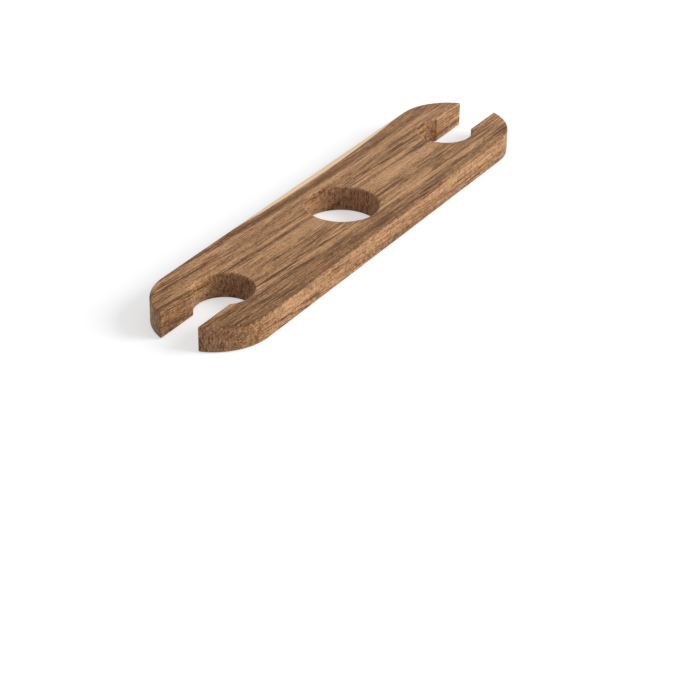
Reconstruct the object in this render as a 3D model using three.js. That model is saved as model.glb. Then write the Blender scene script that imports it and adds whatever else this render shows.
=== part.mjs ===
// Carrying board cut from one solid plank of wood: a round hole through the middle, and a keyhole slot
// in each rounded end. The channel of a slot is open at the end and widens inside to a round seat.
// Millimetres, +Z up. The origin lies on the underside, below the centre of the round hole.
import * as THREE from 'three';

// Driving dimensions
const BLANK_LENGTH = 270; // tip to tip of the round-ended plank, before the slots are cut
const WIDTH = 58;
const THICKNESS = 13;
const HOLE_DIAMETER = 36;
const CHANNEL_WIDTH = 20;
const SEAT_SHOULDER = 4; // how far the seat steps out past each wall of the channel
const SEAT_INSET = 36; // from the tip of the plank to the centre of the seat
const EASED_EDGE = 1; // radius sanded on every top and bottom edge
const ARC_STEP = THREE.MathUtils.degToRad(6);
const EASED_EDGE_STEPS = 3;

// Sizes that follow from them
const END_RADIUS = WIDTH / 2;
const END_CENTRE = BLANK_LENGTH / 2 - END_RADIUS;
const HALF_CHANNEL = CHANNEL_WIDTH / 2;
const MOUTH_ANGLE = Math.asin(HALF_CHANNEL / END_RADIUS);
const SEAT_RADIUS = HALF_CHANNEL + SEAT_SHOULDER;
const SEAT_CENTRE = BLANK_LENGTH / 2 - SEAT_INSET;
const SEAT_MOUTH_ANGLE = Math.asin(HALF_CHANNEL / SEAT_RADIUS);
const QUARTER_TURN = Math.PI / 2;
const FULL_TURN = 2 * Math.PI;

// Points along an arc whose centre lies on the X axis
function arc(centreX, radius, from, to) {
  const steps = Math.ceil(Math.abs(to - from) / ARC_STEP);
  const points = [];
  for (let i = 0; i <= steps; i += 1) {
    const angle = from + ((to - from) * i) / steps;
    points.push(new THREE.Vector2(centreX + radius * Math.cos(angle), radius * Math.sin(angle)));
  }
  return points;
}

// One end of the outline, anticlockwise: round corner, channel, seat, channel and round corner.
// The other end is the same end turned half a turn about the hole.
function endOutline(turn) {
  const side = Math.cos(turn);
  return [
    ...arc(side * END_CENTRE, END_RADIUS, turn - QUARTER_TURN, turn - MOUTH_ANGLE),
    ...arc(side * SEAT_CENTRE, SEAT_RADIUS, turn - SEAT_MOUTH_ANGLE, turn + SEAT_MOUTH_ANGLE - FULL_TURN),
    ...arc(side * END_CENTRE, END_RADIUS, turn + MOUTH_ANGLE, turn + QUARTER_TURN),
  ];
}

// The plank: its outline and hole pushed up through the thickness, with the edges eased
function boardGeometry() {
  const outline = new THREE.Shape([...endOutline(0), ...endOutline(Math.PI)]);
  const hole = arc(0, HOLE_DIAMETER / 2, 0, FULL_TURN).slice(1);
  outline.holes.push(new THREE.Path(hole));
  const geometry = new THREE.ExtrudeGeometry(outline, {
    depth: THICKNESS - 2 * EASED_EDGE,
    bevelEnabled: true,
    bevelThickness: EASED_EDGE,
    bevelSize: EASED_EDGE,
    bevelOffset: -EASED_EDGE,
    bevelSegments: EASED_EDGE_STEPS,
  });
  geometry.translate(0, 0, EASED_EDGE);
  return geometry;
}

const oiledWood = new THREE.MeshStandardMaterial({ color: 0x9a7350, roughness: 0.5, metalness: 0 });
const board = new THREE.Mesh(boardGeometry(), oiledWood);
board.name = 'board';

const carryingBoard = new THREE.Group();
carryingBoard.add(board);

export default carryingBoard;
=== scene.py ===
"""Carrying board of oiled acacia on a pale studio floor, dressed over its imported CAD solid."""
import math
from types import SimpleNamespace

import bmesh
import bpy
from mathutils import Matrix, Vector
from mathutils.geometry import tessellate_polygon


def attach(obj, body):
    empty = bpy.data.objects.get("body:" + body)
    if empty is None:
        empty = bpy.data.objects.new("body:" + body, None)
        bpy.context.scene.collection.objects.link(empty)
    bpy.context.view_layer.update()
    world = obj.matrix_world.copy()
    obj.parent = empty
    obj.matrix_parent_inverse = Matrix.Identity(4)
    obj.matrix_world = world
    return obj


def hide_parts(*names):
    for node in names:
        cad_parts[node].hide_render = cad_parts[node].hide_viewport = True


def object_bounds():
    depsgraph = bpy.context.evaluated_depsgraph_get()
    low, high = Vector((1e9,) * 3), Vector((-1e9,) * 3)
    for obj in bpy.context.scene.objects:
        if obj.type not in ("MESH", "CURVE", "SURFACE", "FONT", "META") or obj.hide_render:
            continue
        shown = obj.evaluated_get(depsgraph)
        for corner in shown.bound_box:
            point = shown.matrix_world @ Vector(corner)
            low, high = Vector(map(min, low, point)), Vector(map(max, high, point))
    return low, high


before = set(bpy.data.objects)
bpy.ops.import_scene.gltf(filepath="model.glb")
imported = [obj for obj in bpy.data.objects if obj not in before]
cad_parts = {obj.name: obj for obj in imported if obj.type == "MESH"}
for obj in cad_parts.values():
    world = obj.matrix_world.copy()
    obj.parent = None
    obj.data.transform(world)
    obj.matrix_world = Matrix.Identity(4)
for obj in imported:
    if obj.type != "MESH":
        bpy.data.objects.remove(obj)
cad_low, cad_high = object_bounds()

MM = 0.001

# Sizes of the board in millimetres: its box comes from the frame, and its cuts are as in the CAD source
LENGTH = (cad_high.x - cad_low.x) / MM
WIDTH = (cad_high.y - cad_low.y) / MM
THICKNESS = (cad_high.z - cad_low.z) / MM
HOLE_DIAMETER = 36.0
CHANNEL_WIDTH = 20.0
SEAT_SHOULDER = 4.0
SEAT_INSET = 36.0
EASED_EDGE = 1.0

# Radius sanded on the upright corners of the slots, and the least of it beside the flat faces
CORNER_EASE = 0.3
LEAST_CORNER = 0.02

# Places that follow from those sizes
END_RADIUS = WIDTH / 2
END_CENTRE = LENGTH / 2 - math.sqrt(END_RADIUS ** 2 - (CHANNEL_WIDTH / 2) ** 2)
SEAT_CENTRE = END_CENTRE + END_RADIUS - SEAT_INSET

# Steps of the mesh, and how far its flat faces keep flat normals
END_ARC_STEPS = 40
CORNER_STEPS = 4
SEAT_STEPS = 96
HOLE_STEPS = 144
EASED_EDGE_STEPS = 6
FLAT_FACE_WEIGHT = 100

# Camera, as the photograph was taken
CAMERA_PLACE = (-0.79597, -0.49417, 0.49317)
CAMERA_HEADING = math.radians(31.518)
CAMERA_PITCH = math.radians(30.957)
CAMERA_ROLL = math.radians(-0.969)
CAMERA_LENS = 112.55
SENSOR_WIDTH = 36.0

# The studio: a pale floor that shows white, a soft key light low on the camera's right, and a dim sky
FLOOR_SIZE = 6.0
FLOOR_DROP = 0.0001
FLOOR_COLOUR = (0.62, 0.62, 0.62, 1.0)
FLOOR_LIFT = 0.5
SKY_COLOUR = (1.0, 1.0, 1.0, 1.0)
SKY_STRENGTH = 0.5
KEY_FROM = Vector((0.45, -0.80, 0.49))
KEY_DISTANCE = 4.0
KEY_SIZE = 2.2
KEY_POWER = 160.0
KEY_COLOUR = (0.99, 0.99, 1.03)

# The course of the grain in millimetres: a long shallow bow in plan, leaning growth layers, gentle waves
GRAIN_SLOPE = 0.042
GRAIN_BOW_PER_MM = 0.00021
LAYER_LEAN = 0.9
WAVE_SIZE = (90.0, 14.0, 30.0)
WAVE_SWING = 2.0
RIPPLE_SIZE = (26.0, 4.0, 12.0)
RIPPLE_SWING = 0.5

# How light each band of growth is, by its place across the layers: the top face starts near -29
BANDS = (
    (-42.0, 0.40), (-40.0, 0.34), (-37.5, 0.38), (-34.0, 0.29), (-31.0, 0.32), (-29.0, 0.28),
    (-27.3, 0.30), (-24.5, 0.38), (-23.0, 0.42), (-21.6, 0.24), (-20.0, 0.55), (-17.6, 0.74),
    (-16.5, 0.26), (-15.4, 0.66), (-12.4, 0.40), (-9.5, 0.54), (-7.3, 0.44), (-3.0, 0.64),
    (1.5, 0.62), (3.5, 0.18), (5.7, 0.76), (8.6, 0.42), (10.5, 0.48), (13.0, 0.52),
    (14.5, 0.32), (17.0, 0.52), (19.0, 0.76), (20.8, 0.40), (22.6, 0.16), (25.5, 0.34),
)
BAND_MIDDLE = 0.5

# Patches of the figure, and at the slot of the -X end a patch of painted shade: place along and across,
# half length, half width and change of tone
PATCHES = (
    (-15.0, -25.5, 38.0, 3.6, -0.18),
    (-50.0, 2.8, 16.0, 1.8, -0.18),
    (-45.0, 21.6, 42.0, 2.8, -0.20),
    (43.0, -24.7, 18.0, 1.7, -0.24),
    (72.0, -21.0, 13.0, 0.9, -0.30),
    (60.0, -11.7, 18.0, 1.1, -0.28),
    (32.0, -16.8, 34.0, 2.6, 0.18),
    (52.0, -0.2, 30.0, 4.6, 0.14),
    (45.0, -17.0, 45.0, 9.0, 0.06),
    # Painted shade over the slot at the -X end: on its wall that faces -Y and on the prong top beside it
    (-126.0, -1.0, 22.0, 14.0, -0.32),
    (-122.0, -38.0, 20.0, 14.0, -0.06),
    (-109.0, -38.5, 10.0, 2.6, 0.13),
    (-110.0, -44.0, 11.0, 3.0, -0.14),
    (-85.0, -40.4, 16.0, 3.2, 0.16),
    (-56.0, -35.6, 26.0, 2.2, -0.14),
    (-55.0, -39.4, 42.0, 1.8, 0.14),
    (-5.0, -34.6, 22.0, 2.6, 0.16),
    (15.0, -38.4, 52.0, 3.0, -0.22),
    (80.0, -30.0, 26.0, 3.0, 0.10),
)

# Where marks crowd together or leave plain ground: place, half length, half width and change of crowding
CROWDS = (
    (52.0, -0.5, 44.0, 8.0, -1.0),
    (-40.0, -1.0, 30.0, 5.0, -0.6),
    (-70.0, -35.0, 70.0, 8.0, -0.3),
    (-35.0, -39.0, 42.0, 6.0, -0.4),
    (85.0, -14.0, 34.0, 9.0, 0.7),
    (55.0, 11.0, 34.0, 6.0, 0.6),
    (30.0, -9.0, 24.0, 4.0, 0.6),
    (-30.0, -13.0, 40.0, 4.0, 0.5),
    (-48.0, 15.0, 30.0, 6.0, 0.4),
)

# Crowding also comes and goes by chance, and runs from none to full between two levels
CROWD_SIZE = (40.0, 9.0, 20.0)
CROWD_CHANCE = 4.0
CROWD_LEVELS = (-0.5, 0.6)

# Marks on every face, sized in millimetres along the grain, across the growth layers and round them
STREAK_SIZE = (90.0, 4.0, 12.0)
THREAD_SIZE = (34.0, 0.9, 2.6)
FIBRE_SIZE = (16.0, 0.6, 0.9)
SPECK_SIZE = (1.7, 0.5, 0.6)
LINE_SIZE = (75.0, 1.5, 6.0)
LINE_LEVELS = (0.06, 0.01)
VESSEL_SIZE = (30.0, 1.1, 1.2)
VESSEL_REACH = 0.32
PORE_SIZE = (5.0, 0.5, 0.6)
PORE_REACH = 0.42

# How noise is drawn out into strokes, and how far dashes differ in length and strength
NOISE_MIDDLE = 0.5
STROKE_LEVELS = (0.02, 0.24)
ROUGH = 0.6
LEAST_DASH = 0.4
FAINTEST_DASH = 0.3
DASH_CORE = 0.6

# Marks of the long edges and of the end grain, in millimetres along, across and up the plank
FLECK_SIZE = (4.2, 2.4, 0.9)
FLECK_REACH = 0.36
RIB_SIZE = (1.3, 8.0, 2.6)
RAY_SIZE = (10.0, 0.7, 2.2)
PORE_END_SIZE = (12.0, 0.52, 0.6)
PORE_END_REACH = 0.46

# Weight of each mark in the tone of the long grain: a pair is for plain and for crowded ground
BAND_WEIGHT = 1.02
STREAK_WEIGHTS = (0.30, 0.60)
THREAD_WEIGHTS = (0.10, 0.30)
LINE_WEIGHTS = (0.0, 0.75)
VESSEL_WEIGHTS = (0.12, 0.72)
FIBRE_WEIGHT = 0.46
SPECK_WEIGHT = 1.5
RIB_WEIGHT = 0.20
FLECK_WEIGHT = 0.42
EDGE_LIFT = 0.04

# Weight of each mark in the tone of the end grain
END_BAND_WEIGHT = 0.35
END_STREAK_WEIGHT = 0.3
END_SPECK_WEIGHT = 0.9
RAY_WEIGHT = 0.55
PORE_END_WEIGHT = 1.5
END_LIFT = 0.06

# Weight of the pores in the long grain and in the end grain, and the tone that all marks start from
PORE_WEIGHTS = (0.80, 0.35)
MIDDLE_TONE = 0.658

# Painted light on the front edge, most of all near its top, and painted shade on the rounded arris above it
FRONT_PAINTED_LIGHT = -0.03
FRONT_PAINTED_LIGHT_PER_MM = 0.024
ARRIS_PAINTED_SHADE = 0.34

# Where each kind of face starts and is full: by the parts of its normal, or by its place in millimetres
END_TURN = (0.15, 0.90)
EDGE_TURN = (0.55, 0.95)
FRONT_SIDE = (-14.0, -20.0)
FRONT_TURN = (0.3, 0.9)
FRONT_UPRIGHT = (0.36, 0.0)
FRONT_START = (-109.0, -94.0)
ARRIS_TURN = (0.1, 0.5)
ARRIS_HEIGHT = (THICKNESS - 1.8, THICKNESS - 0.4)
ARRIS_FADE = (140.0, -60.0)

# The sapwood along the far edge: where its border lies, how that curves, leans and wanders, and its marks
SAPWOOD_FROM = 25.4
SAPWOOD_DEEPEST = 25.0
SAPWOOD_CURVE = 0.00055
SAPWOOD_LEAN = 0.35
SAPWOOD_SOFTNESS = 0.35
SAPWOOD_WANDER_SIZE = (30.0, 3.0, 6.0)
SAPWOOD_WANDER = 0.8
SAPWOOD_FRAY = 0.3
SAPWOOD_CONTRAST = 0.09
SAPWOOD_PORES = 0.5

# Colours of the wood from its darkest lines to its lightest bands and of its sapwood, and end grain's tint
WOOD_TONES = (
    (0.00, (0.115, 0.051, 0.019)),
    (0.25, (0.187, 0.088, 0.034)),
    (0.50, (0.308, 0.155, 0.066)),
    (0.75, (0.435, 0.231, 0.105)),
    (1.00, (0.570, 0.320, 0.156)),
)
SAPWOOD_COLOUR = (0.81, 0.58, 0.385, 1.0)
END_TINT = (-0.10, -0.12, 0.02)

# The oiled surface: relief in millimetres, and gloss
RELIEF_STRENGTH = 0.35
RELIEF_DEPTH = 0.08
FIBRE_RELIEF = 0.12
THREAD_RELIEF = 0.08
ROUGHNESS = 0.58
ROUGHNESS_BY_TONE = -0.12
ROUGHNESS_OF_PORES = 0.2
SPECULAR = 0.16


class Field:
    """A number that varies over a surface: a node's output, with arithmetic that adds Math nodes."""

    def __init__(self, tree, socket):
        self.tree = tree
        self.socket = socket

    def math(self, operation, *others):
        node = self.tree.nodes.new("ShaderNodeMath")
        node.operation = operation
        for slot, value in zip(node.inputs, (self, *others)):
            put(self.tree, slot, value)
        return Field(self.tree, node.outputs[0])

    def __add__(self, other):
        return self.math("ADD", other)

    def __sub__(self, other):
        return self.math("SUBTRACT", other)

    def __mul__(self, other):
        return self.math("MULTIPLY", other)

    def absolute(self):
        return self.math("ABSOLUTE")

    def squared(self):
        return self.math("POWER", 2.0)

    def smooth(self, none, full):
        """0 at the level none and 1 at the level full, whichever is higher, with a smooth step between."""
        node = self.tree.nodes.new("ShaderNodeMapRange")
        node.interpolation_type = "SMOOTHSTEP"
        put(self.tree, node.inputs["Value"], self)
        node.inputs["From Min"].default_value = none
        node.inputs["From Max"].default_value = full
        return Field(self.tree, node.outputs["Result"])

    def between(self, first, second):
        """From the first value, where this field is 0, to the second, where it is 1."""
        return self * (second - first) + first


def put(tree, socket, value):
    """Sets a node's input to a field, another node's output, or a constant."""
    if isinstance(value, Field):
        tree.links.new(value.socket, socket)
    elif isinstance(value, bpy.types.NodeSocket):
        tree.links.new(value, socket)
    else:
        socket.default_value = value


def split(tree, vector):
    """The three parts of a vector, as fields."""
    node = tree.nodes.new("ShaderNodeSeparateXYZ")
    put(tree, node.inputs[0], vector)
    return [Field(tree, output) for output in node.outputs]


def join(tree, parts):
    """A vector made of three fields or numbers."""
    node = tree.nodes.new("ShaderNodeCombineXYZ")
    for slot, value in zip(node.inputs, parts):
        put(tree, slot, value)
    return node.outputs[0]


def texture(tree, kind, place, size):
    """A texture node whose cells have these three sizes in millimetres."""
    node = tree.nodes.new(kind)
    node.inputs["Scale"].default_value = 1.0
    cells = [part * (1 / length) for part, length in zip(place, size)]
    put(tree, node.inputs["Vector"], join(tree, cells))
    return node


def noise(tree, place, size, detail=2.0, roughness=0.5):
    """Noise around 0, mostly within -0.5 and 0.5."""
    node = texture(tree, "ShaderNodeTexNoise", place, size)
    node.inputs["Detail"].default_value = detail
    node.inputs["Roughness"].default_value = roughness
    return Field(tree, node.outputs[0]) - NOISE_MIDDLE


def strokes(tree, place, size, detail, roughness=0.5):
    """Noise drawn out into crisp dark and light strokes, from -1 to 1, with plain ground between them."""
    field = noise(tree, place, size, detail, roughness)
    none, full = STROKE_LEVELS
    return field.smooth(-none, -full) - field.smooth(none, full)


def dashes(tree, place, size, reach):
    """Scattered dashes, one to a cell, up to 1 inside and 0 between them. reach is the half length of the
    longest dash as a share of its cell."""
    node = texture(tree, "ShaderNodeTexVoronoi", place, size)
    share, strength, _ = split(tree, node.outputs["Color"])
    away = Field(tree, node.outputs["Distance"]).math("DIVIDE", share.between(LEAST_DASH, 1.0))
    return away.smooth(reach, reach * DASH_CORE) * strength.between(FAINTEST_DASH, 1.0)


def ramp(tree, factor, stops, interpolation):
    """A colour ramp with the given (place, colour) stops."""
    node = tree.nodes.new("ShaderNodeValToRGB")
    scale = node.color_ramp
    scale.interpolation = interpolation
    while len(scale.elements) < len(stops):
        scale.elements.new(1.0)
    for element, (place, colour) in zip(scale.elements, stops):
        element.position = place
        element.color = (*colour, 1.0)
    put(tree, node.inputs["Fac"], factor)
    return node.outputs["Color"]


def mix_colour(tree, factor, first, second, blend="MIX"):
    """Two colours mixed by a field."""
    node = tree.nodes.new("ShaderNodeMix")
    node.data_type = "RGBA"
    node.blend_type = blend
    put(tree, node.inputs["Factor"], factor)
    put(tree, node.inputs["A"], first)
    put(tree, node.inputs["B"], second)
    return node.outputs["Result"]


def new_material(name):
    """A material with an empty node tree and its surface output."""
    material = bpy.data.materials.new(name)
    material.use_nodes = True
    tree = material.node_tree
    tree.nodes.clear()
    output = tree.nodes.new("ShaderNodeOutputMaterial")
    return material, tree, output


def place_in_log(tree, plank):
    """Where a point of the plank lay in the log: along the grain, across the layers and round them."""
    along, sideways, height = plank
    bow = along * (along * -GRAIN_BOW_PER_MM + GRAIN_SLOPE)
    across = sideways + bow + (height - THICKNESS) * LAYER_LEAN
    around = height - sideways * LAYER_LEAN
    waves = noise(tree, (along, across, around), WAVE_SIZE) * WAVE_SWING
    ripples = noise(tree, (along, across, around), RIPPLE_SIZE) * RIPPLE_SWING
    return along, across + waves + ripples, around


def patchwork(log, patches):
    """The sum of soft oval patches of the log, each with its own change."""
    along, across, _ = log
    total = 0.0
    for place_along, place_across, half_length, half_width, change in patches:
        reach = ((along - place_along) * (1 / half_length)).squared()
        reach = reach + ((across - place_across) * (1 / half_width)).squared()
        total = reach.smooth(1.0, 0.0) * change + total
    return total


def growth_bands(tree, log):
    """Tone of the bands across the plank, from about -0.5 to 0.5."""
    low, high = BANDS[0][0], BANDS[-1][0]
    stops = [((place - low) / (high - low), (tone, tone, tone)) for place, tone in BANDS]
    return Field(tree, ramp(tree, (log[1] - low) * (1 / (high - low)), stops, "EASE")) - BAND_MIDDLE


def shares_by_facing(plank, normal):
    """How far a face is end grain, a long edge, the front edge or the arris above it, from 0 to 1."""
    along, sideways, height = plank
    forward = normal[1] * -1.0 * sideways.smooth(*FRONT_SIDE)
    upright = normal[2].smooth(*FRONT_UPRIGHT)
    return SimpleNamespace(
        end=normal[0].absolute().smooth(*END_TURN),
        edge=normal[1].absolute().smooth(*EDGE_TURN),
        front=forward.smooth(*FRONT_TURN) * upright * along.smooth(*FRONT_START),
        arris=forward.smooth(*ARRIS_TURN) * height.smooth(*ARRIS_HEIGHT) * along.smooth(*ARRIS_FADE),
    )


def grain_marks(tree, log):
    """The marks of the grain by kind, and how far they crowd together."""
    chance = noise(tree, log, CROWD_SIZE, detail=1.0) * CROWD_CHANCE
    crowding = (chance + patchwork(log, CROWDS)).smooth(*CROWD_LEVELS)
    lines = noise(tree, log, LINE_SIZE, detail=1.0).absolute().smooth(*LINE_LEVELS)
    vessels = dashes(tree, log, VESSEL_SIZE, VESSEL_REACH)
    return SimpleNamespace(
        crowding=crowding,
        streaks=noise(tree, log, STREAK_SIZE),
        threads=strokes(tree, log, THREAD_SIZE, detail=3.0, roughness=ROUGH),
        fibres=strokes(tree, log, FIBRE_SIZE, detail=2.0, roughness=ROUGH),
        specks=noise(tree, log, SPECK_SIZE, detail=2.0, roughness=ROUGH),
        lines=lines * crowding.between(*LINE_WEIGHTS),
        vessels=vessels * crowding.between(*VESSEL_WEIGHTS),
        pores=dashes(tree, log, PORE_SIZE, PORE_REACH),
    )


def long_grain_tone(tree, plank, broad, marks, faces):
    """Bands and patches broken by the marks of the grain, with flecks and faint ribs on the long edges. The
    front edge gets painted light and its arris painted shade.
    """
    tone = broad * BAND_WEIGHT + marks.streaks * marks.crowding.between(*STREAK_WEIGHTS)
    tone = tone + marks.threads * marks.crowding.between(*THREAD_WEIGHTS)
    tone = tone + marks.fibres * FIBRE_WEIGHT + marks.specks * SPECK_WEIGHT - marks.lines - marks.vessels
    flecks = dashes(tree, plank, FLECK_SIZE, FLECK_REACH)
    ribs = strokes(tree, plank, RIB_SIZE, detail=1.0)
    tone = tone + (ribs * RIB_WEIGHT - flecks * FLECK_WEIGHT + EDGE_LIFT) * faces.edge
    height = plank[2]
    # Painted light on the front edge, strongest near its top, and painted shade on the rounded arris above
    # it
    return tone + (height * FRONT_PAINTED_LIGHT_PER_MM + FRONT_PAINTED_LIGHT) * faces.front - faces.arris * ARRIS_PAINTED_SHADE


def end_grain_tone(tree, plank, broad, marks):
    """The same layers seen end on, faint among rays and the dark ends of the pores."""
    rays = strokes(tree, plank, RAY_SIZE, detail=1.0)
    pore_ends = dashes(tree, plank, PORE_END_SIZE, PORE_END_REACH)
    tone = broad * END_BAND_WEIGHT + marks.streaks * END_STREAK_WEIGHT + marks.specks * END_SPECK_WEIGHT
    return tone + rays * RAY_WEIGHT - pore_ends * PORE_END_WEIGHT + END_LIFT


def sapwood_share(tree, plank, log, marks):
    """1 in the pale sapwood along the far edge and 0 in the heartwood. The border follows the fibres."""
    along, sideways, height = plank
    depth = sideways - (along - SAPWOOD_DEEPEST).squared() * SAPWOOD_CURVE
    depth = depth + (height - THICKNESS) * SAPWOOD_LEAN
    depth = depth + noise(tree, log, SAPWOOD_WANDER_SIZE) * SAPWOOD_WANDER + marks.threads * SAPWOOD_FRAY
    return depth.smooth(SAPWOOD_FROM - SAPWOOD_SOFTNESS, SAPWOOD_FROM + SAPWOOD_SOFTNESS)


def sapwood_colour(tree, marks):
    """The sapwood with the same marks, much fainter."""
    pale = marks.threads + marks.fibres + marks.specks + marks.streaks - marks.pores * SAPWOOD_PORES
    pale = pale * SAPWOOD_CONTRAST + 1.0
    return mix_colour(tree, 1.0, SAPWOOD_COLOUR, join(tree, (pale, pale, pale)), "MULTIPLY")


def heartwood_tone(tree, plank, log, marks, faces):
    """From about 0 in the darkest lines to about 1 in the lightest bands."""
    broad = growth_bands(tree, log) + patchwork(log, PATCHES)
    lengthwise = long_grain_tone(tree, plank, broad, marks, faces)
    endwise = end_grain_tone(tree, plank, broad, marks)
    tone = lengthwise + (endwise - lengthwise) * faces.end
    return tone - marks.pores * faces.end.between(*PORE_WEIGHTS) + MIDDLE_TONE


def wood_colour(tree, plank, log, marks, faces, tone):
    """Heartwood and sapwood. End grain drinks more oil, so it is darker."""
    heartwood = ramp(tree, tone, WOOD_TONES, "LINEAR")
    sapwood = sapwood_colour(tree, marks)
    colour = mix_colour(tree, sapwood_share(tree, plank, log, marks), heartwood, sapwood)
    shade = join(tree, [faces.end * change + 1.0 for change in END_TINT])
    return mix_colour(tree, 1.0, colour, shade, "MULTIPLY")


def relief(tree, marks):
    """The normal of the surface: fibres and threads are low ribs, pores and vessels are pits."""
    node = tree.nodes.new("ShaderNodeBump")
    node.inputs["Strength"].default_value = RELIEF_STRENGTH
    node.inputs["Distance"].default_value = RELIEF_DEPTH * MM
    ribs = marks.fibres * FIBRE_RELIEF + marks.threads * THREAD_RELIEF
    put(tree, node.inputs["Height"], ribs - marks.pores - marks.vessels)
    return node.outputs["Normal"]


def acacia():
    """Oiled acacia, figured through its whole thickness, with pores, end grain and a sapwood edge."""
    material, tree, output = new_material("oiled_acacia")
    coordinates = tree.nodes.new("ShaderNodeTexCoord")
    geometry = tree.nodes.new("ShaderNodeNewGeometry")
    plank = [part * (1 / MM) for part in split(tree, coordinates.outputs["Object"])]
    faces = shares_by_facing(plank, split(tree, geometry.outputs["Normal"]))
    log = place_in_log(tree, plank)
    marks = grain_marks(tree, log)
    tone = heartwood_tone(tree, plank, log, marks, faces)
    roughness = tone * ROUGHNESS_BY_TONE + marks.pores * ROUGHNESS_OF_PORES + ROUGHNESS
    shader = tree.nodes.new("ShaderNodeBsdfPrincipled")
    put(tree, shader.inputs["Base Color"], wood_colour(tree, plank, log, marks, faces, tone))
    put(tree, shader.inputs["Roughness"], roughness)
    put(tree, shader.inputs["Normal"], relief(tree, marks))
    shader.inputs["Specular IOR Level"].default_value = SPECULAR
    put(tree, output.inputs["Surface"], shader.outputs["BSDF"])
    return material


def arc(centre, radius, start, stop, steps):
    """Points along an arc, both ends included."""
    points = []
    for i in range(steps + 1):
        angle = start + (stop - start) * i / steps
        points.append((centre[0] + radius * math.cos(angle), centre[1] + radius * math.sin(angle)))
    return points


def half_end(inset):
    """Outline from the end of a long edge round one prong to the back of the seat, at the +X end and on the
    +Y side, with every edge moved into the wood by inset. Millimetres."""
    end_radius = END_RADIUS - inset
    half_channel = CHANNEL_WIDTH / 2 + inset
    seat_radius = CHANNEL_WIDTH / 2 + SEAT_SHOULDER + inset
    corner = max(CORNER_EASE - inset, LEAST_CORNER)
    tip_y = half_channel + corner
    tip_x = END_CENTRE + math.sqrt((end_radius - corner) ** 2 - tip_y ** 2)
    tip_angle = math.atan2(tip_y, tip_x - END_CENTRE)
    lip_x = SEAT_CENTRE + math.sqrt((seat_radius + corner) ** 2 - tip_y ** 2)
    lip_angle = math.atan2(tip_y, lip_x - SEAT_CENTRE)
    points = arc((END_CENTRE, 0.0), end_radius, math.pi / 2, tip_angle, END_ARC_STEPS)
    points += arc((tip_x, tip_y), corner, tip_angle, -math.pi / 2, CORNER_STEPS)[1:]
    points += arc((lip_x, tip_y), corner, -math.pi / 2, lip_angle - math.pi, CORNER_STEPS)
    points += arc((SEAT_CENTRE, 0.0), seat_radius, lip_angle, math.pi, SEAT_STEPS // 2)[1:]
    return points


def outline(inset):
    """The board's whole outline, anticlockwise from above."""
    upper = half_end(inset)
    lower = [(x, -y) for x, y in reversed(upper[:-1])]
    right = (upper + lower)[::-1]
    left = [(-x, -y) for x, y in right]
    return right + left


def hole_outline(inset):
    """The round hole, with the same number of points at every inset."""
    return arc((0.0, 0.0), HOLE_DIAMETER / 2 + inset, 0.0, math.tau, HOLE_STEPS)[:-1]


def edge_profile():
    """Inset and height of each ring from the underside to the top face, round both eased edges."""
    rings = []
    for i in range(EASED_EDGE_STEPS + 1):
        angle = math.pi / 2 * i / EASED_EDGE_STEPS
        rings.append((EASED_EDGE * (1 - math.sin(angle)), EASED_EDGE * (1 - math.cos(angle))))
    return rings + [(inset, THICKNESS - height) for inset, height in reversed(rings)]


def add_wall(mesh, loop, flip):
    """Stacks a loop of points through the profile and joins the rings. Returns the bottom and top rings."""
    rings = []
    for inset, height in edge_profile():
        rings.append([mesh.verts.new((x * MM, y * MM, height * MM)) for x, y in loop(inset)])
    for below, above in zip(rings, rings[1:]):
        for i in range(len(below)):
            j = (i + 1) % len(below)
            face = [below[i], below[j], above[j], above[i]]
            mesh.faces.new(face[::-1] if flip else face)
    return rings[0], rings[-1]


def add_cap(mesh, outer, inner, up):
    """Fills the flat face between the outline and the hole."""
    corners = outer + inner
    for triangle in tessellate_polygon([[v.co for v in outer], [v.co for v in inner]]):
        face = mesh.faces.new([corners[i] for i in triangle])
        face.normal_update()
        if (face.normal.z > 0) != up:
            face.normal_flip()


def make_board(material):
    """The plank with its hole, its slots and its sanded edges."""
    mesh = bmesh.new()
    outer_low, outer_high = add_wall(mesh, outline, flip=False)
    hole_low, hole_high = add_wall(mesh, hole_outline, flip=True)
    add_cap(mesh, outer_low, hole_low, up=False)
    add_cap(mesh, outer_high, hole_high, up=True)
    for face in mesh.faces:
        face.smooth = True
    data = bpy.data.meshes.new("acacia_board")
    mesh.to_mesh(data)
    mesh.free()
    board = bpy.data.objects.new("acacia_board", data)
    bpy.context.scene.collection.objects.link(board)
    board.data.materials.append(material)
    normals = board.modifiers.new("face_weighted_normals", "WEIGHTED_NORMAL")
    normals.weight = FLAT_FACE_WEIGHT
    return board


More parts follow.
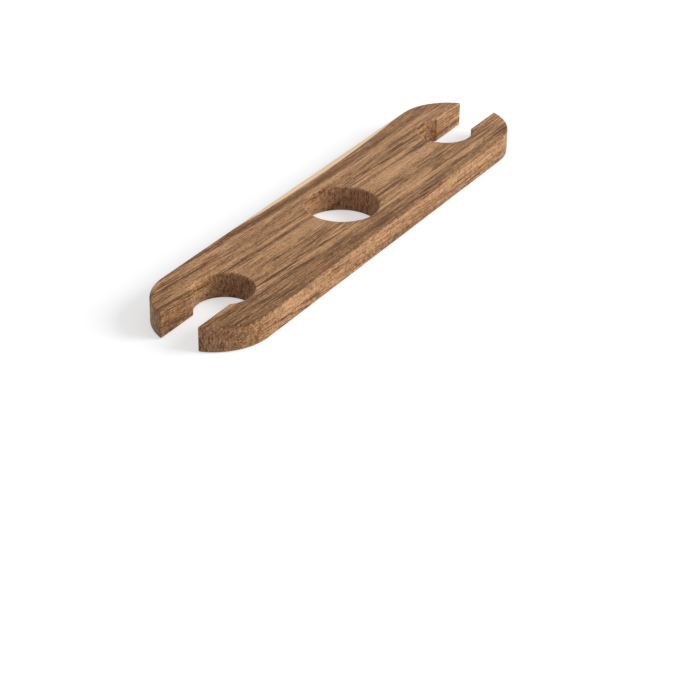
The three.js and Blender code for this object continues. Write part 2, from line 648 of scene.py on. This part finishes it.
def make_camera():
    """A camera at the photograph's place, heading, pitch and roll."""
    forward = Vector((
        math.cos(CAMERA_PITCH) * math.cos(CAMERA_HEADING),
        math.cos(CAMERA_PITCH) * math.sin(CAMERA_HEADING),
        -math.sin(CAMERA_PITCH),
    ))
    level_right = Vector((math.sin(CAMERA_HEADING), -math.cos(CAMERA_HEADING), 0.0))
    level_down = forward.cross(level_right)
    right = math.cos(CAMERA_ROLL) * level_right + math.sin(CAMERA_ROLL) * level_down
    up = -forward.cross(right)
    data = bpy.data.cameras.new("camera")
    data.lens = CAMERA_LENS
    data.sensor_width = SENSOR_WIDTH
    camera = bpy.data.objects.new("camera", data)
    bpy.context.scene.collection.objects.link(camera)
    turn = Matrix((right, up, -forward)).transposed().to_4x4()
    camera.matrix_world = Matrix.Translation(CAMERA_PLACE) @ turn
    bpy.context.scene.camera = camera


def seen_directly(tree):
    """1 for rays from the camera and mirrored or transmitted ones, 0 for rays that only light a surface."""
    path = tree.nodes.new("ShaderNodeLightPath")
    glossy = Field(tree, path.outputs["Is Glossy Ray"])
    through = Field(tree, path.outputs["Is Transmission Ray"])
    return Field(tree, path.outputs["Is Camera Ray"]).math("MAXIMUM", glossy.math("MAXIMUM", through))


def make_floor():
    """A pale floor that is lifted to white where it is seen, and keeps the board's shadow."""
    material, tree, output = new_material("studio_floor")
    diffuse = tree.nodes.new("ShaderNodeBsdfDiffuse")
    diffuse.inputs["Color"].default_value = FLOOR_COLOUR
    glow = tree.nodes.new("ShaderNodeEmission")
    put(tree, glow.inputs["Strength"], seen_directly(tree) * FLOOR_LIFT)
    both = tree.nodes.new("ShaderNodeAddShader")
    put(tree, both.inputs[0], diffuse.outputs[0])
    put(tree, both.inputs[1], glow.outputs[0])
    put(tree, output.inputs["Surface"], both.outputs[0])
    bpy.ops.mesh.primitive_plane_add(size=FLOOR_SIZE, location=(0.0, 0.0, -FLOOR_DROP))
    floor = bpy.context.object
    floor.name = "floor"
    floor.data.materials.append(material)


def make_sky():
    """A dim even sky that shows white."""
    world = bpy.data.worlds.new("studio_sky")
    world.use_nodes = True
    tree = world.node_tree
    background = tree.nodes["Background"]
    put(tree, background.inputs["Strength"], seen_directly(tree).between(SKY_STRENGTH, 1.0))
    background.inputs["Color"].default_value = SKY_COLOUR
    bpy.context.scene.world = world


def make_key():
    """One large soft light."""
    data = bpy.data.lights.new("key", "AREA")
    data.size = KEY_SIZE
    data.energy = KEY_POWER
    data.color = KEY_COLOUR
    key = bpy.data.objects.new("key", data)
    key.location = KEY_FROM.normalized() * KEY_DISTANCE
    key.rotation_euler = KEY_FROM.to_track_quat("Z", "Y").to_euler()
    bpy.context.scene.collection.objects.link(key)


make_camera()
board = make_board(acacia())
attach(board, "root")
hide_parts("board")
make_floor()
make_sky()
make_key()
bpy.context.scene.view_settings.view_transform = "Standard"
